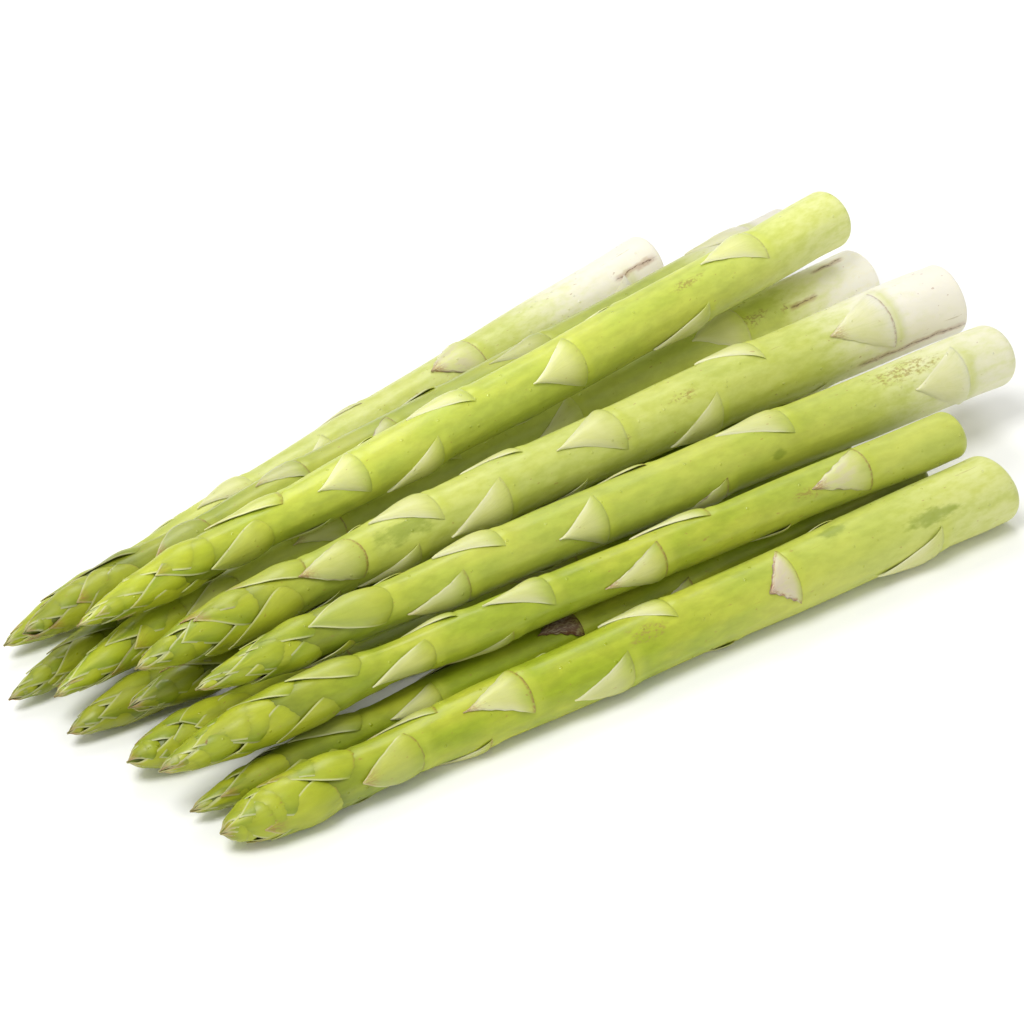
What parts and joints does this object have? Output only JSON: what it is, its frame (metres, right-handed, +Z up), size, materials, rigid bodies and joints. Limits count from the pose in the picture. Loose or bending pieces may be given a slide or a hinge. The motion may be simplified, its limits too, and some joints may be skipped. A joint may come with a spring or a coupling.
{
  "type": "bundle of asparagus",
  "caption": "Loose bunch of thick fresh asparagus spears lying as a low heap, with closed scaly heads at one end and cut stem ends at the other.",
  "frame": {"origin": "middle of the heap's box, on the surface that it lies on", "axes": "+X along the spears towards their cut ends, +Y across the heap, +Z up"},
  "size_m": [0.2858, 0.1552, 0.0391],
  "materials": {
    "green_spear": "waxy satin plant skin, green with paler scale leaves",
    "pale_spear": "waxy satin plant skin, green fading to cream at the cut end"
  },
  "bodies": {
    "root": {"spear_a": "green_spear", "spear_b": "green_spear", "spear_c": "green_spear", "spear_d": "pale_spear", "spear_e": "green_spear", "spear_f": "green_spear", "spear_g": "pale_spear", "spear_h": "green_spear", "spear_i": "pale_spear", "spear_j": "green_spear", "spear_k": "green_spear", "spear_l": "green_spear", "spear_m": "green_spear"}
  },
  "joints": []
}
